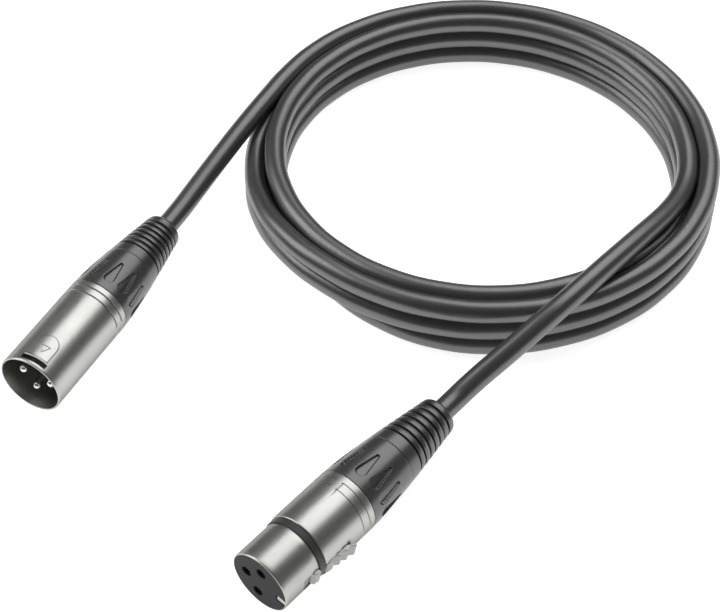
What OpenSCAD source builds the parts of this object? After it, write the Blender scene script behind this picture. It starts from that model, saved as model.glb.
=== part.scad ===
// Balanced audio cable: a male and a female three-pin connector joined by one cable wound into a coil.
// Millimetres. +Z is up, the cable and both connectors lie on the plane z = 0.
// Each connector is drawn along its own +Z from its mouth towards the cable, with its latch on the
// -Y side, and is then laid down in its place.

/* [Cable] */
// Outer diameter of the cable's jacket
cable_d = 6.4; // [6.2:0.1:6.6]
// Radius of the outer column of turns, to the middle of the cable
coil_r = 69; // [68.5:0.5:70]
// Height from one layer of turns to the next
layer_h = 6.2; // [6.1:0.1:6.4]
// How far the outer column stands above the inner one
crossing_lift = 0.5; // [0:0.1:1]

/* [Shells] */
// Outer diameter of both metal shells
shell_d = 19; // [18.8:0.1:19.2]
// Bore of the male shell's mouth
mouth_d = 17.9; // [17.8:0.1:18]
// Diameter of the female barrel, which slides into the male mouth
barrel_d = 17.8; // [17.6:0.1:17.8]
// Length of the male shell
male_shell_len = 33.1; // [33:0.1:34]
// Depth of the male mouth, from its rim to the insert's face
mouth_depth = 15.2; // [15:0.1:16]
// Length of the female barrel in front of the seal ring
barrel_len = 12.3; // [12:0.1:12.8]
// Length of the female shell
female_shell_len = 33; // [32.9:0.1:34]

/* [Contacts] */
// Diameter of a contact pin
pin_d = 2.4; // [2.4:0.1:2.5]
// Bore of a socket contact
socket_bore_d = 2.5; // [2.5:0.05:2.6]
// Radius of the circle that the contacts stand on
contact_r = 4.4; // [4.2:0.1:4.5]
// Distance from the male rim to the pin tips
pin_recess = 2.5; // [2:0.1:3]

/* [Bushings and boots] */
// Length of the male bushing behind its shell
male_bushing_len = 16.1; // [16:0.1:17]
// Length of the male boot
male_boot_len = 19.2; // [19:0.1:20]
// Length of the female bushing behind its shell
female_bushing_len = 16.5; // [16.2:0.1:17]
// Length of the female boot
female_boot_len = 21; // [20.8:0.1:22]
// Number of finger grips round a bushing
grip_count = 12; // [10:1:12]
// Number of grooves along a boot
rib_count = 7; // [5:1:7]

/* [Latch] */
// Width of the latch lever
lever_w = 5; // [4.6:0.1:5]
// Clearance beside the lever
lever_gap = 0.25; // [0.2:0.05:0.3]

/* [Hidden] */

$fn = 96;
cut = 0.01;

// Colours
nickel = [0.62, 0.62, 0.60];
gold = [0.83, 0.72, 0.45];
black = [0.07, 0.07, 0.07];
soft_black = [0.11, 0.11, 0.11];
jacket_black = [0.14, 0.14, 0.14];
core_red = [0.65, 0.10, 0.08];
core_white = [0.86, 0.86, 0.84];
copper = [0.72, 0.42, 0.25];
chuck_white = [0.80, 0.80, 0.78];

// Places. The origin is under the middle of the whole cable's outline.
coil_at = [3.9, 47.3];
male_at = [-66.6, -90.7];
female_at = [20.5, -117.5];
female_heading = 77;
latch_roll = 100;
male_roll = 10;
axle_z = shell_d / 2;

// Lengths that follow from the ones above
male_len = male_shell_len + male_bushing_len + male_boot_len;
female_len = female_shell_len + female_bushing_len + female_boot_len;
ring_w = 1.9;
body_start = barrel_len + ring_w;
thread_d = 15.6;
thread_len = 5;
seat_d = 16.4;
chuck_d = 11.6;
jacket_r = cable_d / 2;
male_back = male_shell_len - thread_len - 1;
female_back = female_shell_len - thread_len - 1;
male_jacket_z = 35.5;
female_jacket_z = 35;
insert_d = 15.6;
ring_seat = 8.3;

// Contact shanks inside the male insert, and solder cups
shank_d = 2.9;
cup_d = 2.6;
cup_bore = 1.7;
cup_len = 4;
core_d = 1.5;
drain_d = 0.9;

// Sockets, and the lead-in holes in the female insert's face in front of them
socket_d = 4;
socket_mouth = 0.8;
face_hole_d = 3;

// Contact places round the axis: 1 and 2 level, 3 opposite the latch
contact_angles = [0, 180, 90];

// Latch
hinge_z = 26.4;
hinge_y = -7.6;
hinge_d = 1.1;
hinge_bore = 7.8;
hinge_play = 0.05;
slot_start = 8.4;
channel_floor = 5.15;
lever_low = 6.6;
neck_top = 7.7;
hook_top = 9.7;
hook_z = 9.7;
hook_len = 1.5;
tab_top = 10.8;
tab_low = 9.9;
tab_z = 14.7;
tab_end = 24;
lever_end = 27.7;
scallop_count = 4;
scallop_r = 0.95;
scallop_pitch = 2.15;

// Route of the male lead, from the boot to the coil's top outer turn
male_route = [
    [-66.6, -22.3, 9.5], [-66.6, -17, 9.6], [-66.5, -12, 10], [-66.4, -6, 10.8], [-66.2, 1, 11.9],
    [-65.9, 9, 13.2], [-65.6, 17, 14.4], [-65.3, 25, 15.4], [-65.1, 33, 16], [-65.1, 40, 16.1],
    [-65.1, 47.3, 16.1]
];

// Route of the female lead, from the boot over the outer turns to the coil's top inner turn
female_route = [
    [36.36, -48.81, 9.5], [37.9, -42.6, 9.8], [39.5, -38.2, 11], [41.9, -33, 13], [44.9, -27, 15.4],
    [47.8, -21, 17.8], [50.6, -15, 20.1], [53.1, -9, 21.8], [55.3, -2, 22.5], [57.4, 6, 22.5],
    [59.4, 14, 22.3], [61.3, 22, 21.8], [62.9, 29.5, 21], [64.3, 37, 19.8], [65.3, 44.5, 18.4],
    [65.6, 52, 17], [65, 59.5, 16], [63.4, 66.9, 15.6]
];

// ---------- shared shapes ----------

// Points along an arc in a profile
function arc(cx, cy, r, from, to, steps = 8) =
    [for (i = [0:steps]) let (a = from + (to - from) * i / steps) [cx + r * cos(a), cy + r * sin(a)]];

// Turned grooves round a shell, as points along its outside
function shell_grooves(places, depth = 0.25) =
    let (r = shell_d / 2)
    [for (z = places) each [[r, z - 0.4], [r - depth, z - 0.2], [r - depth, z + 0.2], [r, z + 0.4]]];

// A straight rod between two points
module rod(p, q, d) {
    v = q - p;
    run = norm([v[0], v[1]]);
    translate(p)
        rotate([0, atan2(run, v[2]), atan2(v[1], v[0])])
            cylinder(d = d, h = norm(v), $fn = 32);
}

// Copies of a shape at the three contacts
module at_contact(n) {
    rotate(contact_angles[n - 1])
        translate([contact_r, 0, 0])
            children();
}

module place_male() {
    translate([male_at[0], male_at[1], axle_z])
        rotate([-90, 0, 0])
            rotate([0, 0, male_roll])
                children();
}

module place_female() {
    translate([female_at[0], female_at[1], axle_z])
        rotate([0, 0, female_heading - 90])
            rotate([-90, 0, 0])
                rotate([0, 0, latch_roll])
                    children();
}

// A plain tube swept along a route, as one closed surface
function unit(v) = v / norm(v);
function heading(route, i) =
    unit(route[min(i + 1, len(route) - 1)] - route[max(i - 1, 0)]);
function ring_at(p, t, r, sides) =
    let (side = unit(cross(t, [0, 0, 1])), up = cross(side, t))
    [for (k = [0:sides - 1]) let (a = 360 * k / sides) p + r * (cos(a) * side + sin(a) * up)];

module swept_tube(route, r, sides = 12) {
    rings = len(route);
    points = [for (i = [0:rings - 1]) each ring_at(route[i], heading(route, i), r, sides)];
    walls = [
        for (i = [0:rings - 2], k = [0:sides - 1])
            let (a = i * sides + k, b = i * sides + (k + 1) % sides)
            each [[a, b, b + sides], [a, b + sides, a + sides]]
    ];
    first_cap = [for (k = [0:sides - 1]) sides - 1 - k];
    last_cap = [for (k = [0:sides - 1]) (rings - 1) * sides + k];
    polyhedron(points = points, faces = concat([first_cap], walls, [last_cap]), convexity = 6);
}

// ---------- shared parts of both connectors ----------

// Collet that grips the jacket, slotted so that the bushing can close it
module chuck(start, length) {
    nose = 2.5;
    difference() {
        union() {
            translate([0, 0, start])
                cylinder(d = chuck_d, h = length - nose);
            translate([0, 0, start + length - nose])
                cylinder(d1 = chuck_d, d2 = chuck_d - 2.4, h = nose);
        }
        translate([0, 0, start - cut])
            cylinder(d = cable_d, h = length + 2 * cut);
        for (a = [0, 90])
            rotate(a)
                translate([-chuck_d, -0.5, start + 3])
                    cube([2 * chuck_d, 1, length]);
    }
}

// Outer profile of a bushing, as [radius, share of its length]
bushing_shape = [[9.45, 0], [9.38, 0.18], [9.08, 0.43], [8.7, 0.68], [8.3, 0.93], [8.15, 1]];

// One finger grip, cut outwards from its floor: round and wide near the shell, narrowing to a small round end
module grip_pocket(length) {
    wide = 3.4;
    narrow = 1.2;
    lean = 6.5;
    mirror([1, 0, 0])
        rotate([0, lean - 90, 0])
            linear_extrude(height = 4)
                union() {
                    circle(d = wide, $fn = 32);
                    translate([length, 0])
                        circle(d = narrow, $fn = 32);
                    polygon([[0, -wide / 2], [length, -narrow / 2], [length, narrow / 2], [0, wide / 2]]);
                }
}

// Threaded sleeve that screws into the shell and closes the collet
module bushing(shell_end, length, grip_turn) {
    grip_floor = 8.35;
    grip_start = 0.26 * length;
    grip_len = 0.39 * length;
    difference() {
        union() {
            translate([0, 0, shell_end])
                rotate_extrude()
                    polygon(concat([[0, 0]], [for (p = bushing_shape) [p[0], p[1] * length]], [[0, length]]));
            translate([0, 0, shell_end - thread_len])
                cylinder(d = thread_d, h = thread_len + 1);
        }
        translate([0, 0, shell_end - thread_len - cut])
            cylinder(d = chuck_d, h = thread_len + length - 4);
        translate([0, 0, shell_end - thread_len])
            cylinder(d = cable_d, h = thread_len + length + cut);
        for (i = [0:grip_count - 1])
            rotate(grip_turn + i * 360 / grip_count)
                translate([grip_floor, 0, shell_end + grip_start])
                    grip_pocket(grip_len);
    }
}

// Ribbed rubber boot, tapering to the cable
module boot(start, length, start_r, end_r, first_groove, pitch) {
    groove_w = 0.8;
    groove_depth = 0.9;
    end_round = 1.4;
    // Radius at a distance along the boot: nearly straight, easing in towards its end
    function boot_r(z) = start_r + (end_r - start_r) * pow(z / length, 1.15);
    ribs = [
        for (i = [0:rib_count - 1])
            let (z = first_groove + i * pitch)
            each [
                [boot_r(z - groove_w / 2) - 0.15, z - groove_w / 2 - 0.15],
                [boot_r(z) - groove_depth, z - groove_w / 4],
                [boot_r(z) - groove_depth, z + groove_w / 4],
                [boot_r(z + groove_w / 2) - 0.15, z + groove_w / 2 + 0.15]
            ]
    ];
    translate([0, 0, start])
        rotate_extrude()
            polygon(concat(
                [[jacket_r, 0], [start_r, 0]],
                ribs,
                [[boot_r(length - end_round), length - end_round]],
                arc(boot_r(length) - end_round, length - end_round, end_round, 15, 90),
                [[jacket_r, length]]
            ));
}

// Core from inside a solder cup, leaning in behind it, to the end of the jacket
module core(place, cup_z, jacket_z, d) {
    a = contact_angles[place - 1];
    cup_end = cup_z + cup_len;
    out = [contact_r * cos(a), contact_r * sin(a), cup_end + 0.4];
    in = [1.5 * cos(a), 1.5 * sin(a), jacket_z - 0.5];
    bare = d - 0.3;
    translate([out[0], out[1], cup_z + 1.2])
        cylinder(d = bare, h = cup_len, $fn = 32);
    rod(out, in, d);
    translate([in[0], in[1], in[2] - 0.5])
        cylinder(d = bare, h = 1, $fn = 32);
}

// ---------- male connector ----------

module male_shell() {
    rim = 0.2;
    window_w = 7.6;
    window_len = 1.9;
    r = shell_d / 2;
    color(nickel)
        place_male()
            difference() {
                rotate_extrude()
                    polygon(concat(
                        [[mouth_d / 2, 0], [r - rim, 0], [r, rim]],
                        shell_grooves([28.6, 31]),
                        [[r, male_shell_len]],
                        [[thread_d / 2, male_shell_len], [thread_d / 2, male_back]],
                        [[seat_d / 2, male_back], [seat_d / 2, mouth_depth]],
                        [[mouth_d / 2, mouth_depth]]
                    ));
                translate([-window_w / 2, -r - 1, 1])
                    cube([window_w, 4, window_len]);
            }
}

module male_insert() {
    color(black)
        place_male()
            difference() {
                translate([0, 0, mouth_depth])
                    cylinder(d = seat_d, h = male_back - mouth_depth);
                for (n = [1:3])
                    at_contact(n)
                        translate([0, 0, mouth_depth - cut])
                            cylinder(d = shank_d, h = male_back - mouth_depth + 2 * cut, $fn = 48);
            }
}

// Contact pin with a round tip, a thicker shank held in the insert and a solder cup
module male_pin(n) {
    tip_r = pin_d / 2;
    color(gold)
        place_male()
            at_contact(n)
                difference() {
                    union() {
                        translate([0, 0, pin_recess + tip_r])
                            cylinder(d = pin_d, h = mouth_depth - pin_recess - tip_r, $fn = 48);
                        translate([0, 0, mouth_depth])
                            cylinder(d = shank_d, h = male_back - mouth_depth, $fn = 48);
                        translate([0, 0, pin_recess + tip_r])
                            sphere(r = tip_r, $fn = 48);
                        translate([0, 0, male_back])
                            cylinder(d = cup_d, h = cup_len, $fn = 48);
                    }
                    translate([0, 0, male_back + 1])
                        cylinder(d = cup_bore, h = cup_len, $fn = 32);
                }
}

module male_core(n, d) { place_male() core(n, male_back, male_jacket_z, d); }
module male_core_hot() { color(core_red) male_core(2, core_d); }
module male_core_cold() { color(core_white) male_core(3, core_d); }
module male_drain_wire() { color(copper) male_core(1, drain_d); }

module male_cable_end() {
    color(jacket_black)
        place_male()
            translate([0, 0, male_jacket_z])
                cylinder(d = cable_d, h = male_len - male_jacket_z);
}

module male_chuck() { color(chuck_white) place_male() chuck(34.5, 10); }
module male_bushing() { color(black) place_male() bushing(male_shell_len, male_bushing_len, 5); }

module male_boot() {
    color(soft_black)
        place_male()
            boot(male_shell_len + male_bushing_len, male_boot_len, 8, 5.4, 3.8, 2.03);
}

// ---------- female connector ----------

// The latch hinge, across the lever
module hinge_axle(d, length = 20) {
    translate([0, hinge_y, hinge_z])
        rotate([0, 90, 0])
            cylinder(d = d, h = length, center = true, $fn = 32);
}

// Slot for the lever on the latch side
module lever_slot(start = slot_start) {
    w = lever_w + 2 * lever_gap;
    translate([-w / 2, -shell_d, start])
        cube([w, shell_d - channel_floor, lever_end + 0.4 - start]);
}

module female_shell() {
    r = shell_d / 2;
    rim = 0.5;
    recess_start = 6.6;
    color(nickel)
        place_female()
            difference() {
                rotate_extrude()
                    polygon(concat(
                        [[insert_d / 2, 0], [barrel_d / 2 - rim, 0], [barrel_d / 2, rim]],
                        [[barrel_d / 2, barrel_len], [ring_seat, barrel_len], [ring_seat, body_start]],
                        [[r - 0.3, body_start], [r, body_start + 0.3]],
                        shell_grooves([28.4, 30.9]),
                        [[r, female_shell_len], [thread_d / 2, female_shell_len]],
                        [[thread_d / 2, female_back], [insert_d / 2, female_back]]
                    ));
                lever_slot(recess_start);
                hinge_axle(hinge_d, hinge_bore);
            }
}

module female_ring() {
    ring_r = 9.2;
    color(black)
        place_female()
            translate([0, 0, barrel_len])
                difference() {
                    cylinder(r = ring_r, h = ring_w);
                    translate([0, 0, -cut])
                        cylinder(r = ring_seat, h = ring_w + 2 * cut);
                }
}

module female_insert() {
    key_w = 2.2;
    color(black)
        place_female()
            difference() {
                cylinder(d = insert_d, h = female_back);
                for (n = [1:3])
                    at_contact(n)
                        union() {
                            translate([0, 0, socket_mouth])
                                cylinder(d = socket_d, h = female_back, $fn = 48);
                            translate([0, 0, -cut])
                                cylinder(d = face_hole_d, h = socket_mouth + 2 * cut, $fn = 48);
                        }
                translate([-key_w / 2, -insert_d / 2 - 1, -cut])
                    cube([key_w, 3.2, 6]);
                lever_slot();
                hinge_axle(hinge_d, hinge_bore);
            }
}

// Socket contact: a bored sleeve with a solder cup
module female_socket(n) {
    bore_depth = 14;
    color(gold)
        place_female()
            at_contact(mirrored_contact(n))
                difference() {
                    union() {
                        translate([0, 0, socket_mouth])
                            cylinder(d = socket_d, h = female_back - socket_mouth, $fn = 48);
                        translate([0, 0, female_back])
                            cylinder(d = cup_d, h = cup_len, $fn = 48);
                    }
                    translate([0, 0, socket_mouth - cut])
                        cylinder(d = socket_bore_d, h = bore_depth + cut, $fn = 48);
                    translate([0, 0, female_back + 1])
                        cylinder(d = cup_bore, h = cup_len, $fn = 32);
                }
}

// A socket stands where its pin comes, so 1 and 2 change sides on the female face
function mirrored_contact(n) = n == 1 ? 2 : n == 2 ? 1 : 3;

// Side outline of the lever, as [distance from the mouth, height above the axis]
lever_outline = concat(
    [[hook_z - 0.5, lever_low], [hook_z - 0.5, neck_top - 0.4], [hook_z, hook_top]],
    [[hook_z + hook_len, hook_top]],
    [[hook_z + hook_len + 0.2, neck_top], [body_start + 0.25, neck_top], [tab_z, tab_low - 0.4]],
    [[tab_z + 0.4, tab_low], [tab_end - 0.5, tab_top], [tab_end, tab_top - 0.6], [tab_end + 0.3, 8.8]],
    [[lever_end - 0.6, 8.8], [lever_end, 8.2], [lever_end, lever_low]]
);

// Height of a scallop's middle, on the tab's sloping top
function scallop_y(i) = tab_low + 0.3 + (tab_top - tab_low) * (1.2 + i * scallop_pitch) / (tab_end - tab_z);

module latch_lever() {
    color(nickel)
        place_female()
            difference() {
                rotate([90, 0, -90])
                    translate([0, 0, -lever_w / 2])
                        linear_extrude(height = lever_w)
                            polygon([for (p = lever_outline) [p[1], p[0]]]);
                hinge_axle(hinge_d + 2 * hinge_play);
                for (i = [0:scallop_count - 1])
                    translate([0, -scallop_y(i), tab_z + 1.6 + i * scallop_pitch])
                        rotate([0, 90, 0])
                            cylinder(r = scallop_r, h = 20, center = true, $fn = 32);
            }
}

module latch_pin() {
    color(nickel)
        place_female()
            hinge_axle(hinge_d, hinge_bore - 0.2);
}

// Bowed leaf spring between the channel's floor and the lever
module latch_spring() {
    chord = 8;
    rise = lever_low - channel_floor - 0.05;
    thick = 0.25;
    bow_r = (chord * chord / 4 + rise * rise) / (2 * rise);
    middle_z = 19;
    color(nickel)
        place_female()
            intersection() {
                translate([0, -channel_floor + bow_r - rise, middle_z])
                    rotate([0, 90, 0])
                        difference() {
                            cylinder(r = bow_r, h = 3.4, center = true);
                            cylinder(r = bow_r - thick, h = 4, center = true);
                        }
                translate([-2, -lever_low, middle_z - chord / 2])
                    cube([4, rise + 0.05, chord]);
            }
}

module female_core(n, d) { place_female() core(mirrored_contact(n), female_back, female_jacket_z, d); }
module female_core_hot() { color(core_red) female_core(2, core_d); }
module female_core_cold() { color(core_white) female_core(3, core_d); }
module female_drain_wire() { color(copper) female_core(1, drain_d); }

module female_cable_end() {
    color(jacket_black)
        place_female()
            translate([0, 0, female_jacket_z])
                cylinder(d = cable_d, h = female_len - female_jacket_z);
}

module female_chuck() { color(chuck_white) place_female() chuck(34, 11); }
module female_bushing() { color(black) place_female() bushing(female_shell_len, female_bushing_len, 27); }

module female_boot() {
    color(soft_black)
        place_female()
            boot(female_shell_len + female_bushing_len, female_boot_len, 8.1, 5.4, 4.2, 2.33);
}

// ---------- cable ----------

// Outer shape of the wound turns: two columns wide and three layers high
module cable_coil() {
    inner = coil_r - cable_d - jacket_r;
    outer = coil_r + jacket_r;
    top = cable_d + 2 * layer_h + crossing_lift;
    color(jacket_black)
        translate([coil_at[0], coil_at[1], 0])
            rotate_extrude($fn = 180)
                polygon(concat(
                    arc(inner + jacket_r, jacket_r, jacket_r, 180, 270, 4),
                    arc(outer - jacket_r, jacket_r, jacket_r, 270, 360, 4),
                    arc(outer - jacket_r, top - jacket_r, jacket_r, 0, 90, 4),
                    arc(inner + jacket_r, top - jacket_r, jacket_r, 90, 180, 4)
                ));
}

module male_lead() { color(jacket_black) swept_tube(male_route, jacket_r); }
module female_lead() { color(jacket_black) swept_tube(female_route, jacket_r); }

male_shell();
male_insert();
male_pin(1);  // male_pin_1
male_pin(2);  // male_pin_2
male_pin(3);  // male_pin_3
male_core_hot();
male_core_cold();
male_drain_wire();
male_cable_end();
male_chuck();
male_bushing();
male_boot();
female_shell();
female_ring();
female_insert();
female_socket(1);  // female_socket_1
female_socket(2);  // female_socket_2
female_socket(3);  // female_socket_3
latch_lever();
latch_pin();
latch_spring();
female_core_hot();
female_core_cold();
female_drain_wire();
female_cable_end();
female_chuck();
female_bushing();
female_boot();
male_lead();
cable_coil();
female_lead();
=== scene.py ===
"""Looks of the coiled balanced audio cable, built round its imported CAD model.

The frame is in metres. Each connector is described along its own +Z from its mouth towards the
cable, with its latch side towards -Y, in millimetres, and is then put in its place.
"""
import math

import bmesh
import bpy
from mathutils import Matrix, Vector


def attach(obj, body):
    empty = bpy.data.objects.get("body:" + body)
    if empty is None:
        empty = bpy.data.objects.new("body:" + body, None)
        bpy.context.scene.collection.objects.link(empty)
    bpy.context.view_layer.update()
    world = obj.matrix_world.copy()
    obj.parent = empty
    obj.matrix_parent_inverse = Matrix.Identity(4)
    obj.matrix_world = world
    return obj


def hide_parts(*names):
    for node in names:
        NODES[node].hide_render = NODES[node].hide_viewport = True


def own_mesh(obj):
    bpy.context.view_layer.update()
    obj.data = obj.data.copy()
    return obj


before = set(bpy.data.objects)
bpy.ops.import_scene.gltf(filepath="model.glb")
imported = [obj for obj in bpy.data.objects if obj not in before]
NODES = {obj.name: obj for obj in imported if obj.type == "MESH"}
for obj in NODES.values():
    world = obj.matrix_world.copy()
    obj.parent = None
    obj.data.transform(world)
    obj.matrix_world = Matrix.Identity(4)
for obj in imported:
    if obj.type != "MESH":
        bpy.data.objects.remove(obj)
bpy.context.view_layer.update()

MM = 0.001

# Places of the connectors and of the coil, as in the CAD source
SHELL_R = 9.5
AXLE_Z = 9.5
COIL_AT = (3.9, 47.3)
MALE_AT = (-66.6, -90.7)
MALE_ROLL = 10
FEMALE_AT = (20.5, -117.5)
FEMALE_TURN = -13
FEMALE_ROLL = 100
MALE = (
    Matrix.Translation(Vector((*MALE_AT, AXLE_Z)) * MM)
    @ Matrix.Rotation(math.radians(-90), 4, "X")
    @ Matrix.Rotation(math.radians(MALE_ROLL), 4, "Z")
)
FEMALE = (
    Matrix.Translation(Vector((*FEMALE_AT, AXLE_Z)) * MM)
    @ Matrix.Rotation(math.radians(FEMALE_TURN), 4, "Z")
    @ Matrix.Rotation(math.radians(-90), 4, "X")
    @ Matrix.Rotation(math.radians(FEMALE_ROLL), 4, "Z")
)
LATCH_SIDE = -90.0


# ---------- camera ----------

CAMERA_AT = Vector((0.15150, -0.31568, 0.35805))
CAMERA_DOWN = 46.6
CAMERA_HEADING = 27.51
SENSOR_WIDE = 36
LENS = 84.74

camera_data = bpy.data.cameras.new("camera")
camera_data.sensor_width = SENSOR_WIDE
camera_data.lens = LENS
camera_data.clip_start = 0.01
camera_data.clip_end = 20
camera = bpy.data.objects.new("camera", camera_data)
camera.location = CAMERA_AT
camera.rotation_euler = (math.radians(90 - CAMERA_DOWN), 0, math.radians(CAMERA_HEADING))
bpy.context.scene.collection.objects.link(camera)
bpy.context.scene.camera = camera


# ---------- materials ----------

NOISE_LOW, NOISE_HIGH = 0.3, 0.7
NOISE_ROUGHNESS = 0.55
BROAD_DETAIL = 3.0
FINE_DETAIL = 4.0
RELIEF_HIGH = 0.0001


def following(nodes, links, noise, low, high):
    """A number that goes from low to high with a noise."""
    node = nodes.new("ShaderNodeMapRange")
    node.inputs["From Min"].default_value = NOISE_LOW
    node.inputs["From Max"].default_value = NOISE_HIGH
    node.inputs["To Min"].default_value = low
    node.inputs["To Max"].default_value = high
    links.new(noise, node.inputs["Value"])
    return node.outputs["Result"]


def noise_of(nodes, links, vector, scale, detail):
    node = nodes.new("ShaderNodeTexNoise")
    node.inputs["Scale"].default_value = scale
    node.inputs["Detail"].default_value = detail
    node.inputs["Roughness"].default_value = NOISE_ROUGHNESS
    links.new(vector, node.inputs["Vector"])
    return node.outputs["Fac"]


def finish_of(name, dark, light, metallic, rough_low, rough_high, scale, grain, bump,
              specular=0.5, ior=1.5, stretch=None, edge_tint=1.0):
    """A procedural finish: two tones, roughness and fine relief that all follow noise.

    scale is the spacing of the tones and grain that of the relief. stretch is (rotation in
    degrees, scale of each axis) for a brushed grain. edge_tint is how bright a metal stays where
    it is seen at a low angle.
    """
    mat = bpy.data.materials.new(name)
    mat.use_nodes = True
    nodes, links = mat.node_tree.nodes, mat.node_tree.links
    shader = nodes["Principled BSDF"]
    shader.inputs["Metallic"].default_value = metallic
    shader.inputs["Specular IOR Level"].default_value = specular
    shader.inputs["IOR"].default_value = ior
    shader.inputs["Specular Tint"].default_value = (edge_tint, edge_tint, edge_tint, 1)
    place = nodes.new("ShaderNodeTexCoord").outputs["Object"]
    vector = place
    if stretch:
        mapping = nodes.new("ShaderNodeMapping")
        mapping.inputs["Rotation"].default_value = (0, 0, math.radians(stretch[0]))
        mapping.inputs["Scale"].default_value = stretch[1]
        links.new(place, mapping.inputs["Vector"])
        vector = mapping.outputs["Vector"]
    broad = noise_of(nodes, links, place, scale, BROAD_DETAIL)
    fine = noise_of(nodes, links, vector, grain, FINE_DETAIL)
    mix = nodes.new("ShaderNodeMix")
    mix.data_type = "RGBA"
    mix.inputs["A"].default_value = (*dark, 1)
    mix.inputs["B"].default_value = (*light, 1)
    links.new(following(nodes, links, broad, 0, 1), mix.inputs["Factor"])
    links.new(mix.outputs["Result"], shader.inputs["Base Color"])
    links.new(following(nodes, links, fine, rough_low, rough_high), shader.inputs["Roughness"])
    relief = nodes.new("ShaderNodeBump")
    relief.inputs["Strength"].default_value = bump
    relief.inputs["Distance"].default_value = RELIEF_HIGH
    links.new(fine, relief.inputs["Height"])
    links.new(relief.outputs["Normal"], shader.inputs["Normal"])
    return mat


def satin_nickel(name, turn):
    """Satin nickel with its grain along a connector that is turned by an angle in degrees."""
    return finish_of(name, (0.44, 0.44, 0.42), (0.49, 0.49, 0.47), 1.0, 0.30, 0.38, 60, 5200,
                     0.10, stretch=(turn, NICKEL_STRETCH), edge_tint=0.35)


NICKEL_STRETCH = (1, 0.06, 1)
nickel = satin_nickel("nickel_satin", 0)
nickel_female = satin_nickel("nickel_satin_female", -FEMALE_TURN)
nickel_lever = finish_of("nickel_lever", (0.29, 0.29, 0.28), (0.35, 0.35, 0.34), 1.0, 0.30,
                         0.46, 90, 4000, 0.12)
key_metal = finish_of("key_contact", (0.60, 0.60, 0.58), (0.68, 0.68, 0.66), 0.5, 0.5, 0.6, 90,
                      4000, 0.1)
contact = finish_of("contact_plating", (0.78, 0.76, 0.70), (0.85, 0.83, 0.78), 1.0, 0.14, 0.22,
                    200, 6000, 0.05)
steel = finish_of("spring_steel", (0.45, 0.45, 0.46), (0.55, 0.55, 0.56), 1.0, 0.2, 0.3,
                  200, 5000, 0.08)
# The male insert is given a mid-grey lighter than its real black plastic: painted light standing
# in for the light that reaches inside the shell's mouth.
male_plastic_painted_light = finish_of("male_insert_painted_light", (0.150, 0.150, 0.147), (0.180, 0.180, 0.176), 0.0,
                         0.5, 0.6, 120, 3500, 0.15)
female_plastic = finish_of("female_insert_plastic", (0.010, 0.010, 0.010),
                           (0.014, 0.014, 0.014), 0.0, 0.5, 0.6, 120, 3500, 0.15, specular=0.2)
bushing_black = finish_of("bushing_plastic", (0.034, 0.034, 0.034), (0.044, 0.044, 0.043), 0.0,
                          0.26, 0.34, 90, 3000, 0.06, specular=1.0, ior=1.58)
boot_black = finish_of("boot_rubber", (0.020, 0.020, 0.020), (0.028, 0.028, 0.028), 0.0, 0.30,
                       0.38, 110, 2600, 0.12, specular=1.0, ior=1.62)
ring_black = finish_of("seal_ring", (0.034, 0.034, 0.034), (0.044, 0.044, 0.044), 0.0, 0.45, 0.55,
                       150, 3000, 0.12)
jacket = finish_of("cable_jacket", (0.024, 0.024, 0.024), (0.030, 0.030, 0.030), 0.0, 0.32,
                   0.40, 45, 1400, 0.05, specular=1.0, ior=1.68)
chuck_plastic = finish_of("chuck_plastic", (0.66, 0.66, 0.63), (0.72, 0.72, 0.69), 0.0, 0.4,
                          0.5, 120, 3000, 0.1)
red_core = finish_of("red_core", (0.40, 0.02, 0.015), (0.50, 0.03, 0.02), 0.0, 0.35, 0.45,
                     300, 3000, 0.1)
white_core = finish_of("white_core", (0.70, 0.70, 0.67), (0.78, 0.78, 0.75), 0.0, 0.35, 0.45,
                       300, 3000, 0.1)
copper = finish_of("bare_copper", (0.70, 0.33, 0.18), (0.82, 0.42, 0.25), 1.0, 0.2, 0.32,
                   400, 5000, 0.1)

# Finish and record slot of each CAD node
NODE_FINISH = {
    "male_shell": (nickel, "nickel_shell"),
    "male_insert": (male_plastic_painted_light, "black_plastic"),
    "male_pin_1": (contact, "contact_metal"),
    "male_pin_2": (contact, "contact_metal"),
    "male_pin_3": (contact, "contact_metal"),
    "male_core_hot": (red_core, "red_core"),
    "male_core_cold": (white_core, "white_core"),
    "male_drain_wire": (copper, "copper_wire"),
    "male_cable_end": (jacket, "cable_jacket"),
    "male_chuck": (chuck_plastic, "white_plastic"),
    "male_bushing": (bushing_black, "black_bushing"),
    "male_boot": (boot_black, "black_boot"),
    "female_shell": (nickel_female, "nickel_shell"),
    "female_ring": (ring_black, "black_ring"),
    "female_insert": (female_plastic, "black_plastic"),
    "female_socket_1": (contact, "contact_metal"),
    "female_socket_2": (contact, "contact_metal"),
    "female_socket_3": (contact, "contact_metal"),
    "latch_lever": (nickel_lever, "nickel_lever"),
    "latch_pin": (steel, "steel_small"),
    "latch_spring": (steel, "steel_small"),
    "female_core_hot": (red_core, "red_core"),
    "female_core_cold": (white_core, "white_core"),
    "female_drain_wire": (copper, "copper_wire"),
    "female_cable_end": (jacket, "cable_jacket"),
    "female_chuck": (chuck_plastic, "white_plastic"),
    "female_bushing": (bushing_black, "black_bushing"),
    "female_boot": (boot_black, "black_boot"),
    "male_lead": (jacket, "cable_jacket"),
    "cable_coil": (jacket, "cable_jacket"),
    "female_lead": (jacket, "cable_jacket"),
}
for node_name, (finish, slot_name) in NODE_FINISH.items():
    node = NODES[node_name]
    node.data.materials.clear()
    node.data.materials.append(finish)


# ---------- mesh helpers ----------

def piece(name, mesh, finish, body="cable", sharp=32.0):
    """A piece from a mesh in the shared frame, smooth except over its sharp edges."""
    obj = bpy.data.objects.new(name, mesh)
    bpy.context.scene.collection.objects.link(obj)
    mesh.materials.append(finish)
    for polygon in mesh.polygons:
        polygon.use_smooth = True
    mesh.set_sharp_from_angle(angle=math.radians(sharp))
    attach(obj, body)
    return obj


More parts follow.
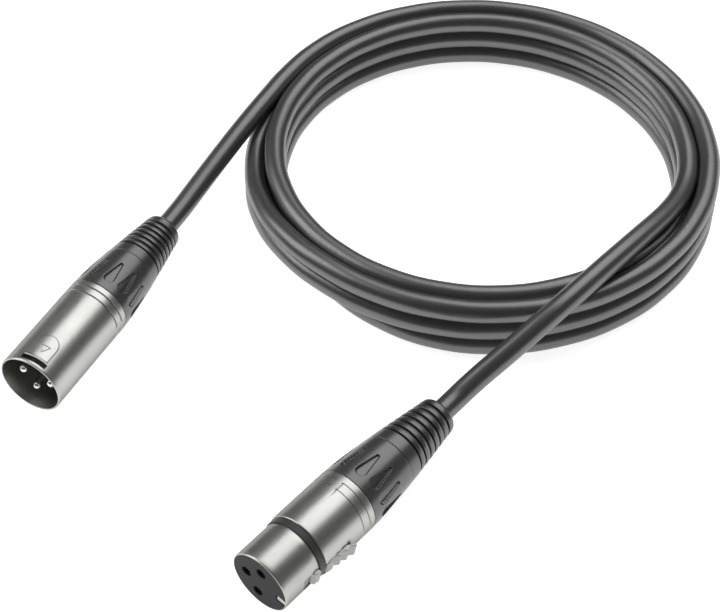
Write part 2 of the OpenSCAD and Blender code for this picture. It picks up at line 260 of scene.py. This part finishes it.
def mesh_of(name, verts, faces):
    """A mesh whose faces all look outwards."""
    mesh = bpy.data.meshes.new(name)
    mesh.from_pydata(verts, [], faces)
    bm = bmesh.new()
    bm.from_mesh(mesh)
    bmesh.ops.recalc_face_normals(bm, faces=bm.faces)
    bm.to_mesh(mesh)
    bm.free()
    return mesh


def turned(name, profile, matrix, segments):
    """A turned shape from a closed profile of (z, radius); a radius may be a function of angle."""
    verts = []
    for z, radius in profile:
        for k in range(segments):
            angle = 360.0 * k / segments
            r = radius(angle) if callable(radius) else radius
            point = (r * math.cos(math.radians(angle)), r * math.sin(math.radians(angle)), z)
            verts.append(matrix @ (Vector(point) * MM))
    faces = []
    for i in range(len(profile)):
        row, next_row = i * segments, (i + 1) % len(profile) * segments
        for k in range(segments):
            j = (k + 1) % segments
            faces.append((row + k, row + j, next_row + j, next_row + k))
    return mesh_of(name, verts, faces)


def smooth(x, low, high):
    """0 below low, 1 above high, and a soft step between them."""
    t = min(1.0, max(0.0, (x - low) / (high - low)))
    return t * t * (3 - 2 * t)


def span(low, high, count):
    """Evenly spaced numbers from low to high, both included."""
    return [low + (high - low) * i / (count - 1) for i in range(count)]


def through(points, x):
    """A smooth curve through (value, share) points, read at a share."""
    if x <= points[0][1]:
        return points[0][0]
    for i in range(len(points) - 1):
        if x <= points[i + 1][1]:
            p0 = points[max(i - 1, 0)]
            p1, p2 = points[i], points[i + 1]
            p3 = points[min(i + 2, len(points) - 1)]
            width = p2[1] - p1[1]
            t = (x - p1[1]) / width
            m1 = (p2[0] - p0[0]) / (p2[1] - p0[1]) * width
            m2 = (p3[0] - p1[0]) / (p3[1] - p1[1]) * width
            return ((2 * t ** 3 - 3 * t ** 2 + 1) * p1[0] + (t ** 3 - 2 * t ** 2 + t) * m1
                    + (3 * t ** 2 - 2 * t ** 3) * p2[0] + (t ** 3 - t ** 2) * m2)
    return points[-1][0]


# ---------- cable ----------

CABLE_D = 6.4
COIL_R = 69.0
INNER_R = COIL_R - CABLE_D
LEVELS = (3.2, 9.4, 15.6)
TOP_OUTER = 16.1

# The leads' middle, from each boot to the coil
FEMALE_ROUTE = [
    (36.36, -48.81, 9.5), (37.9, -42.6, 9.8), (39.5, -38.2, 11), (41.9, -33, 13),
    (44.9, -27, 15.4), (47.8, -21, 17.8), (50.6, -15, 20.1), (53.1, -9, 21.8),
    (55.3, -2, 22.5), (57.4, 6, 22.5), (59.4, 14, 22.3), (61.3, 22, 21.8),
    (62.9, 29.5, 21), (64.3, 37, 19.8), (65.3, 44.5, 18.4), (65.6, 52, 17),
    (65, 59.5, 16), (63.4, 66.9, 15.6),
]
MALE_ROUTE = [
    (-66.6, -22.3, 9.5), (-66.6, -17, 9.6), (-66.5, -12, 10), (-66.4, -6, 10.8),
    (-66.2, 1, 11.9), (-65.9, 9, 13.2), (-65.6, 17, 14.4), (-65.3, 25, 15.4),
    (-65.1, 33, 16), (-65.1, 40, 16.1), (-65.1, 47.3, 16.1),
]


# Degrees wound at the start and end of each change of layer or column
DOWN_TO_MIDDLE = (322, 378)
DOWN_TO_FLOOR = (650, 702)
OUT_TO_OUTER = (955, 1015)
UP_TO_MIDDLE = (1282, 1336)
UP_TO_TOP = (1642, 1696)
COIL_ANGLES = range(30, 1966, 15)


def coil_point(angle):
    """The cable's middle in the coil by the angle wound so far.

    It goes down the inner column, out, and up the outer one.
    """
    radius = INNER_R + CABLE_D * smooth(angle, *OUT_TO_OUTER)
    height = LEVELS[2]
    height -= (LEVELS[2] - LEVELS[1]) * smooth(angle, *DOWN_TO_MIDDLE)
    height -= (LEVELS[1] - LEVELS[0]) * smooth(angle, *DOWN_TO_FLOOR)
    height += (LEVELS[1] - LEVELS[0]) * smooth(angle, *UP_TO_MIDDLE)
    height += (TOP_OUTER - LEVELS[1]) * smooth(angle, *UP_TO_TOP)
    turn = math.radians(angle)
    return (COIL_AT[0] + radius * math.cos(turn), COIL_AT[1] + radius * math.sin(turn), height)


route = FEMALE_ROUTE + [coil_point(a) for a in COIL_ANGLES] + MALE_ROUTE[::-1]

cable_data = bpy.data.curves.new("cable", "CURVE")
cable_data.dimensions = "3D"
cable_data.bevel_depth = CABLE_D / 2 * MM
cable_data.bevel_resolution = 8
cable_data.resolution_u = 8
cable_data.use_fill_caps = True
cable_line = cable_data.splines.new("BEZIER")
cable_line.bezier_points.add(len(route) - 1)
for bezier, point in zip(cable_line.bezier_points, route):
    bezier.co = Vector(point) * MM
    bezier.handle_left_type = bezier.handle_right_type = "AUTO"
cable_data.materials.append(jacket)
cable = bpy.data.objects.new("cable", cable_data)
bpy.context.scene.collection.objects.link(cable)
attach(cable, "cable")
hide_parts("male_lead", "cable_coil", "female_lead")


# ---------- bushings ----------

# Radius at shares of the length
BUSHING_SHAPE = [(9.45, 0), (9.38, 0.18), (9.08, 0.43), (8.7, 0.68), (8.3, 0.93), (8.15, 1)]
GRIPS = 12
GRIP_WIDE, GRIP_TIP = 1.7, 0.6
GRIP_DEEP, GRIP_TIP_LESS = 0.85, 0.25
GRIP_START_SHARE, GRIP_RUN_SHARE = 0.26, 0.39
GRIP_EDGE_IN, GRIP_EDGE_OUT = -0.34, 0.02


def pocket_depth(angle, radius, z, length, grip_turn):
    """How deep the finger grips are at a place on a bushing.

    A grip is round, wide and deep near the shell and runs out to a narrow tip.
    """
    pitch = 360.0 / GRIPS
    turns = (angle - grip_turn) / pitch + 0.5
    aside = (turns - math.floor(turns) - 0.5) * pitch
    across = abs(math.radians(aside)) * radius
    start, run = GRIP_START_SHARE * length, GRIP_RUN_SHARE * length
    along = z - start
    share = min(1.0, max(0.0, along / run))
    half = GRIP_WIDE + (GRIP_TIP - GRIP_WIDE) * share
    if 0 < share < 1:
        outside = across - half
    else:
        outside = math.hypot(across, along - share * run) - half
    floor = GRIP_DEEP - GRIP_TIP_LESS * share
    return floor * (1 - smooth(outside, GRIP_EDGE_IN, GRIP_EDGE_OUT))


def bushing_skin(name, matrix, shell_end, length, grip_turn):
    """Bushing behind a shell, with its finger grips."""
    profile = [(shell_end - 0.6, 7.7), (shell_end - 0.6, 9.0), (shell_end + 0.02, 9.1),
               (shell_end + 0.06, 9.28)]
    for z in span(0.16, length - 0.12, 110):
        base = through(BUSHING_SHAPE, z / length)
        profile.append((shell_end + z,
                        lambda a, r=base, z=z: r - pocket_depth(a, r, z, length, grip_turn)))
    end = shell_end + length
    profile += [(end - 0.03, 8.08), (end, 7.95), (end, 3.3), (end - 2, 3.3), (end - 4, 5.9)]
    mesh = turned(name, profile, matrix, segments=360)
    return piece(name, mesh, bushing_black, sharp=50)


# ---------- boots ----------

BOOT_GROOVES = 7
BOOT_GROOVE_DEEP = 1.1
BOOT_TAPER = 1.15
BOOT_END_ROUND = 1.3
RIB_ROUND = 0.1


def boot_skin(name, matrix, start, length, start_r, end_r, first_groove, pitch):
    """Tapered boot with rounded ribs between narrow grooves, and a rounded end lip."""
    grooves = [first_groove + i * pitch for i in range(BOOT_GROOVES)]

    def outline(z):
        r = start_r + (end_r - start_r) * (z / length) ** BOOT_TAPER
        near = min(abs(z - g) for g in grooves)
        r -= BOOT_GROOVE_DEEP * (1 - smooth(near, 0.14, 0.36))
        if grooves[0] < z < grooves[-1]:
            r -= RIB_ROUND * (1 - smooth(near, 0.3, pitch / 2))
        return r

    profile = [(start, 3.3), (start, start_r - 0.22), (start + 0.05, start_r - 0.06)]
    profile += [(start + z, outline(z)) for z in span(0.14, length - BOOT_END_ROUND, 190)]
    middle = outline(length - BOOT_END_ROUND) - BOOT_END_ROUND
    for i in range(1, 12):
        turn = math.radians(90 * i / 12)
        profile.append((start + length - BOOT_END_ROUND + BOOT_END_ROUND * math.sin(turn),
                        middle + BOOT_END_ROUND * math.cos(turn)))
    profile += [(start + length, middle - 0.1), (start + length - 0.1, 3.22),
                (start + length - 3, 3.22)]
    mesh = turned(name, profile, matrix, segments=128)
    return piece(name, mesh, boot_black, sharp=60)


male_bushing = bushing_skin("male_bushing_moulded", MALE, shell_end=33.1, length=16.1,
                            grip_turn=5)
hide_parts("male_bushing")
female_bushing = bushing_skin("female_bushing_moulded", FEMALE, shell_end=33.0, length=16.5,
                              grip_turn=27)
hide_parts("female_bushing")
male_boot = boot_skin("male_boot_moulded", MALE, start=49.2, length=19.2, start_r=8.0, end_r=5.4,
                      first_groove=3.8, pitch=2.03)
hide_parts("male_boot")
female_boot = boot_skin("female_boot_moulded", FEMALE, start=49.5, length=21.0, start_r=8.1,
                        end_r=5.4, first_groove=4.2, pitch=2.33)
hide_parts("female_boot")


# ---------- shells ----------

# Window at the top of the male mouth
WINDOW_HALF = 3.8
WINDOW_START, WINDOW_END = 1.0, 2.9
WINDOW_INSIDE, WINDOW_OUTSIDE = -6.5, -10.5

# Lever slot of the female shell, its channel below, and the recess in front of the catch
SLOT_HALF = 2.75
SLOT_START, SLOT_END = 9.1, 23.0
SLOT_OUTSIDE = -19
CHANNEL_FLOOR = 5.15
CHANNEL_END = 28.1
COVER_INSIDE = 9.0
RECESS_START = 6.6
RECESS_FLOOR = 8.2


def box_mesh(name, low, high, matrix):
    """A box between two corners in a connector's millimetres."""
    mesh = bpy.data.meshes.new(name)
    bm = bmesh.new()
    bmesh.ops.create_cube(bm, size=1)
    for v in bm.verts:
        v.co = matrix @ (Vector([(low[i] + high[i]) / 2 + v.co[i] * (high[i] - low[i])
                                 for i in range(3)]) * MM)
    bm.to_mesh(mesh)
    bm.free()
    return mesh


def cut_box(obj, low, high, matrix):
    """Cuts a box out of a piece."""
    cutter = bpy.data.objects.new("cutter", box_mesh("cutter", low, high, matrix))
    bpy.context.scene.collection.objects.link(cutter)
    modifier = obj.modifiers.new("cut", "BOOLEAN")
    modifier.operation = "DIFFERENCE"
    modifier.solver = "EXACT"
    modifier.object = cutter
    bpy.context.view_layer.update()
    evaluated = obj.evaluated_get(bpy.context.evaluated_depsgraph_get())
    mesh = bpy.data.meshes.new_from_object(evaluated)
    obj.modifiers.clear()
    obj.data = mesh
    bpy.data.objects.remove(cutter)


def groove_dip(z, place, half, depth):
    """How deep a turned groove is at z."""
    return depth * (1 - smooth(abs(z - place), half, half + 0.12))


def dense(low, high, places, step=1.0, fine=0.07, reach=0.42):
    """Places along a shell, close together near its grooves."""
    out, z = [], low
    while z < high - 0.02:
        out.append(z)
        if any(abs(z - p) < reach for p in places):
            z += fine
        else:
            z += min([step] + [p - reach - z + 0.001 for p in places if p - reach > z])
    out.append(high)
    return out


def angle_from(angle, at):
    """Degrees between two angles, the short way round."""
    return abs((angle - at + 180) % 360 - 180)


# The plain strip where the turned grooves stop, and the line along one side of it
STRIP_WIDE = 12.5
STRIP_EDGE = 0.4
LINE_START = 25.6
LINE_FADE = 1.5
LINE_HALF, LINE_DEEP = 0.12, 0.1


def strip_share(angle, at):
    """1 on the plain strip, 0 beside it."""
    half = STRIP_WIDE / 2
    return 1 - smooth(angle_from(angle, at), half - STRIP_EDGE, half + STRIP_EDGE)


def line_dip(angle, z, at, end):
    """How deep the line along the shell is at a place."""
    if not LINE_START <= z <= end:
        return 0.0
    across = math.radians(angle_from(angle, at)) * SHELL_R
    return LINE_DEEP * (1 - smooth(across, LINE_HALF, LINE_HALF + 0.14))


def shell_radius(angle, z, grooves, strip_at, line_side, groove_half, groove_deep):
    """A shell's outside: turned grooves, the plain strip, and the line on the strip's side."""
    dips = sum(groove_dip(z, g, groove_half, groove_deep) for g in grooves)
    r = SHELL_R - dips * (1 - strip_share(angle, strip_at))
    line_end = grooves[1] + 0.2
    ends = (smooth(z, LINE_START, LINE_START + LINE_FADE)
            * (1 - smooth(z, grooves[1] - 0.1, line_end)))
    line = line_dip(angle, z, strip_at + line_side * STRIP_WIDE / 2, line_end)
    return min(r, SHELL_R - line * ends)


def ring_rows(places, radius_of):
    """Rows of a turned profile at some places along it, with their radius by angle and place."""
    return [(z, lambda a, z=z: radius_of(a, z)) for z in places]


SHELL_SEGMENTS = 384
SHELL_SHARP = 32

# Male shell: mouth's lip, outside, then the inside from the bushing's end to the mouth
MALE_GROOVES = (28.6, 31.0)
MALE_LINE_ROWS = 26.0


def male_outside(angle, z):
    return shell_radius(angle, z, MALE_GROOVES, strip_at=-4.5, line_side=-1, groove_half=0.2,
                        groove_deep=0.4)


male_profile = [(0.25, 8.95), (0.06, 9.0), (0.0, 9.1), (0.0, 9.22), (0.07, 9.38), (0.22, 9.48)]
male_profile += ring_rows(dense(0.45, 32.9, (*MALE_GROOVES, MALE_LINE_ROWS)), male_outside)
male_profile += [(33.02, 9.45), (33.1, 9.34), (33.1, 7.8), (27.1, 7.8), (27.1, 8.2),
                 (15.2, 8.2), (15.2, 8.95)]
male_shell = piece("male_shell_turned",
                   turned("male_shell_turned", male_profile, MALE, SHELL_SEGMENTS),
                   nickel)
cut_box(male_shell, (-WINDOW_HALF, WINDOW_OUTSIDE, WINDOW_START),
        (WINDOW_HALF, WINDOW_INSIDE, WINDOW_END), MALE)
male_shell.data.set_sharp_from_angle(angle=math.radians(SHELL_SHARP))
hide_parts("male_shell")

# Female shell: thin rim round the face, barrel, ring's seat, body, then the inside
FEMALE_GROOVES = (28.4, 30.9)
BARREL_R = 8.9
FACE_DEEP = 0.45


def female_outside(angle, z):
    return shell_radius(angle, z, FEMALE_GROOVES, strip_at=166.0, line_side=1, groove_half=0.1,
                        groove_deep=0.3)


female_profile = [(FACE_DEEP, 7.8), (FACE_DEEP, 8.56), (0.0, 8.56), (0.0, 8.62), (0.05, 8.76),
                  (0.18, 8.86), (0.4, BARREL_R)]
female_profile += [(z, BARREL_R) for z in span(1.5, 12.2, 8)]
female_profile += [(12.27, 8.87), (12.3, 8.8), (12.3, 8.3), (14.2, 8.3), (14.2, 9.3),
                   (14.25, 9.42), (14.36, 9.49)]
female_profile += ring_rows(dense(14.6, 32.8, FEMALE_GROOVES), female_outside)
female_profile += [(32.92, 9.45), (33.0, 9.34), (33.0, 7.8)]
female_shell = piece("female_shell_turned",
                     turned("female_shell_turned", female_profile, FEMALE, SHELL_SEGMENTS),
                     nickel_female)
cut_box(female_shell, (-SLOT_HALF, SLOT_OUTSIDE, SLOT_START),
        (SLOT_HALF, -CHANNEL_FLOOR, SLOT_END), FEMALE)
cut_box(female_shell, (-SLOT_HALF, -COVER_INSIDE, SLOT_END - 0.1),
        (SLOT_HALF, -CHANNEL_FLOOR, CHANNEL_END), FEMALE)
cut_box(female_shell, (-SLOT_HALF, SLOT_OUTSIDE, RECESS_START),
        (SLOT_HALF, -RECESS_FLOOR, SLOT_START + 0.1), FEMALE)
female_shell.data.set_sharp_from_angle(angle=math.radians(SHELL_SHARP))
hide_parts("female_shell")


# ---------- release tongue on the male shell ----------

TONGUE_HALF = 3.6
TONGUE_FROM = 3.1
TONGUE_STRAIGHT = 7.6
ARCH_R = 3.6
ARCH_STEPS = 24
TONGUE_RISE = 0.18
TONGUE_EDGE = 0.34
TONGUE_SINK = 0.02


def on_male(across, z, height):
    """A point on the male shell: across is measured along its surface from the latch side."""
    turn = math.radians(LATCH_SIDE) + across / SHELL_R
    r = SHELL_R + height
    return MALE @ (Vector((r * math.cos(turn), r * math.sin(turn), z)) * MM)


def strip_faces(rows, columns):
    """Faces between rows of points that aren't closed across."""
    return [(i * columns + k, i * columns + k + 1, j * columns + k + 1, j * columns + k)
            for i, j in rows for k in range(columns - 1)]


def tongue_plate():
    """The slightly raised, round-ended tongue behind the window, with a soft edge all round."""
    arch = [TONGUE_STRAIGHT + ARCH_R * math.sin(math.radians(90 * i / ARCH_STEPS))
            for i in range(1, ARCH_STEPS + 1)]
    rows = []
    for z in span(TONGUE_FROM, TONGUE_STRAIGHT, 16) + arch:
        past = max(z - TONGUE_STRAIGHT, 0.0)
        half = math.sqrt(max(TONGUE_HALF ** 2 - past ** 2, 0.0001))
        row = []
        for u in span(-90, 90, 41):
            x = half * math.sin(math.radians(u))
            inside = TONGUE_HALF - math.hypot(x, past)
            height = TONGUE_RISE * smooth(inside, 0, TONGUE_EDGE) - TONGUE_SINK
            row.append(on_male(x, z, height))
        rows.append(row)
    pairs = [(i, i + 1) for i in range(len(rows) - 1)]
    mesh = mesh_of("male_release_tongue", [p for row in rows for p in row],
                   strip_faces(pairs, len(rows[0])))
    return piece("male_release_tongue", mesh, nickel, sharp=60)


tongue_plate()

# Triangular push mark: a low rounded bead round three corners of (across, z)
MARK_CORNERS = [(-1.4, 7.3), (0.1, 4.8), (1.6, 7.3)]
MARK_HALF = 0.22
MARK_HIGH = 0.3
MARK_EDGE = 0.1
MARK_SECTION = [(-1.0, MARK_EDGE), (-0.8, MARK_HIGH * 0.45), (-0.35, MARK_HIGH * 0.92),
                (0.35, MARK_HIGH * 0.92), (0.8, MARK_HIGH * 0.45), (1.0, MARK_EDGE)]
MARK_STEPS = 10


def push_mark():
    """The push mark on the male tongue."""
    path = []
    for i, a in enumerate(MARK_CORNERS):
        b = MARK_CORNERS[(i + 1) % len(MARK_CORNERS)]
        path += [(a[0] + (b[0] - a[0]) * k / MARK_STEPS, a[1] + (b[1] - a[1]) * k / MARK_STEPS)
                 for k in range(MARK_STEPS)]
    n = len(path)
    verts = []
    for i, (x, z) in enumerate(path):
        before, after = path[i - 1], path[(i + 1) % n]
        dx, dz = after[0] - before[0], after[1] - before[1]
        size = math.hypot(dx, dz)
        nx, nz = dz / size, -dx / size
        verts += [on_male(x + nx * s * MARK_HALF, z + nz * s * MARK_HALF, h)
                  for s, h in MARK_SECTION]
    pairs = [(i, (i + 1) % n) for i in range(n)]
    mesh = mesh_of("male_push_mark", verts, strip_faces(pairs, len(MARK_SECTION)))
    return piece("male_push_mark", mesh, nickel, sharp=60)


push_mark()


# ---------- latch ----------

LEVER_HALF = 2.5
TAB_FROM, TAB_LOW = 15.1, 9.45
TAB_TO, TAB_HIGH = 23.5, 10.8
SCALLOPS = 3
SCALLOP_FROM = 17.6
SCALLOP_PITCH = 2.35
SCALLOP_DEEP = 0.55


def tab_top(z):
    """Height of the tab over its scallops."""
    return TAB_LOW + (TAB_HIGH - TAB_LOW) * (z - TAB_FROM) / (TAB_TO - TAB_FROM)


def lever_outline():
    """The lever from the side, as (z, height above the connector's middle)."""
    path = [(9.2, 6.6), (9.2, 7.3), (9.8, 8.6), (10.3, 9.3), (11.85, 9.5), (12.05, 9.3),
            (12.1, 7.7), (14.45, 7.7), (14.65, 8.9), (14.8, 9.25), (TAB_FROM, TAB_LOW)]
    first = SCALLOP_FROM - SCALLOP_PITCH / 2 + 0.15
    last = SCALLOP_FROM + (SCALLOPS - 0.5) * SCALLOP_PITCH
    for z in span(first, last, 56):
        dip = 0.5 + 0.5 * math.cos(math.tau * (z - SCALLOP_FROM) / SCALLOP_PITCH)
        path.append((z, tab_top(z) - SCALLOP_DEEP * dip))
    path += [(23.9, 10.8), (24.08, 10.62), (24.02, 10.38), (22.9, 9.75), (22.4, 9.3), (22.1, 8.8),
             (27.1, 8.8), (27.5, 8.6), (27.7, 8.2), (27.7, 6.6)]
    return path


def face_order(face):
    """A face's vertices from its lowest one on."""
    order = [v.index for v in face.verts]
    first = order.index(min(order))
    return order[first:] + order[:first]


def plate(name, outline, half, finish, body, bevel):
    """A flat part of the female latch side, cut to an outline of (z, height), edges rounded.

    Blender bevels in an order that changes from run to run, so the faces are put in order.
    """
    bm = bmesh.new()
    low = [bm.verts.new(FEMALE @ (Vector((-half, -h, z)) * MM)) for z, h in outline]
    high = [bm.verts.new(FEMALE @ (Vector((half, -h, z)) * MM)) for z, h in outline]
    n = len(outline)
    bm.faces.new(low)
    bm.faces.new(high[::-1])
    for i in range(n):
        j = (i + 1) % n
        bm.faces.new((low[j], low[i], high[i], high[j]))
    bmesh.ops.recalc_face_normals(bm, faces=bm.faces)
    rims = [e for e in bm.edges
            if len(e.link_faces) == 2 and e.calc_face_angle() > math.radians(60)]
    bmesh.ops.bevel(bm, geom=rims, offset=bevel * MM, segments=3, profile=0.6, affect="EDGES",
                    clamp_overlap=True)
    bmesh.ops.triangulate(bm, faces=[f for f in bm.faces if len(f.verts) > 4])
    bm.verts.index_update()
    verts = [v.co.copy() for v in bm.verts]
    faces = sorted(face_order(f) for f in bm.faces)
    bm.free()
    return piece(name, mesh_of(name, verts, faces), finish, body=body, sharp=35)


lever = plate("latch_lever_toothed", lever_outline(), LEVER_HALF, nickel_lever,
              "latch", bevel=0.24)
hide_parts("latch_lever")

# Metal piece in the key notch of the female face
KEY_HALF = 0.95
KEY_OUTLINE = [(0.2, 5.8), (0.2, 8.58), (0.8, 8.58), (0.8, 7.85), (5.6, 7.85), (5.6, 5.8)]
plate("female_key_contact", KEY_OUTLINE, KEY_HALF, key_metal, "cable", bevel=0.1)

# Bowed leaf spring between the channel's floor and the lever, which flattens it
LEAF_RISE = 1.4
LEAF_CHORD = 8.0
LEAF_MIDDLE = 19.0
LEAF_THICK = 0.25
LEAF_INNER_HALF = 3.58
LEAF_HALF = 1.7
leaf_r = (LEAF_CHORD ** 2 / 4 + LEAF_RISE ** 2) / (2 * LEAF_RISE)
leaf_low = CHANNEL_FLOOR + LEAF_RISE - leaf_r
leaf_outline = [(LEAF_MIDDLE + x, leaf_low + math.sqrt(leaf_r ** 2 - x * x))
                for x in span(-LEAF_CHORD / 2, LEAF_CHORD / 2, 33)]
leaf_outline += [(LEAF_MIDDLE + x, leaf_low + math.sqrt((leaf_r - LEAF_THICK) ** 2 - x * x))
                 for x in span(LEAF_INNER_HALF, -LEAF_INNER_HALF, 29)]
leaf = plate("latch_spring_leaf", leaf_outline, LEAF_HALF, steel, "cable",
             bevel=0.02)
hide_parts("latch_spring")
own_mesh(leaf)

# Front flange of the insert, between its face and the barrel's thin rim
NOTCH_HALF = 1.1
FLANGE_PROFILE = [(0.0, 7.75), (-0.02, 7.82), (-0.02, 8.48), (0.02, 8.54), (FACE_DEEP, 8.55),
                  (FACE_DEEP, 7.75)]
flange = piece("female_face_flange", turned("female_face_flange", FLANGE_PROFILE, FEMALE, 160),
               female_plastic)
cut_box(flange, (-NOTCH_HALF, -9.5, -1), (NOTCH_HALF, -5, 1), FEMALE)
flange.data.set_sharp_from_angle(angle=math.radians(40))


# ---------- floor and light ----------

AIM = Vector((0, 0, 0.01))


def softbox(name, azimuth, elevation, distance, size, power):
    """A soft lamp that looks at the object; azimuth is clockwise from the camera's heading."""
    data = bpy.data.lights.new(name, "AREA")
    data.shape = "RECTANGLE"
    data.size, data.size_y = size
    data.energy = power
    lamp = bpy.data.objects.new(name, data)
    turn = math.radians(CAMERA_HEADING - azimuth)
    up = math.radians(elevation)
    lamp.location = AIM + distance * Vector(
        (-math.sin(turn) * math.cos(up), math.cos(turn) * math.cos(up), math.sin(up)))
    lamp.rotation_euler = (AIM - lamp.location).to_track_quat("-Z", "Y").to_euler()
    bpy.context.scene.collection.objects.link(lamp)


FLOOR_HALF = 3.0
FLOOR_DROP = 0.0002
FLOOR_GLOW = 0.82
WORLD_GLOW = 0.11

floor_mesh = bpy.data.meshes.new("floor")
floor_mesh.from_pydata([(-FLOOR_HALF, -FLOOR_HALF, 0), (FLOOR_HALF, -FLOOR_HALF, 0),
                        (FLOOR_HALF, FLOOR_HALF, 0), (-FLOOR_HALF, FLOOR_HALF, 0)],
                       [], [(0, 1, 2, 3)])
floor = bpy.data.objects.new("floor", floor_mesh)
floor.location.z = -FLOOR_DROP
bpy.context.scene.collection.objects.link(floor)
paper = bpy.data.materials.new("floor_paper")
paper.use_nodes = True
paper_shader = paper.node_tree.nodes["Principled BSDF"]
paper_shader.inputs["Base Color"].default_value = (0.9, 0.9, 0.9, 1)
paper_shader.inputs["Roughness"].default_value = 0.9
paper_shader.inputs["Specular IOR Level"].default_value = 0.1
paper_shader.inputs["Emission Color"].default_value = (1, 1, 1, 1)
paper_shader.inputs["Emission Strength"].default_value = FLOOR_GLOW
floor_mesh.materials.append(paper)

world = bpy.data.worlds.new("studio")
bpy.context.scene.world = world
world.use_nodes = True
sky = world.node_tree.nodes["Background"]
sky.inputs["Color"].default_value = (1, 1, 1, 1)
sky.inputs["Strength"].default_value = WORLD_GLOW

softbox("key", azimuth=36, elevation=56, distance=1.2, size=(1.12, 1.05), power=8.0)
softbox("left_strip", azimuth=-74, elevation=40, distance=1.3, size=(0.75, 1.2), power=8.4)

scene = bpy.context.scene
scene.view_settings.view_transform = "Standard"
scene.view_settings.look = "None"
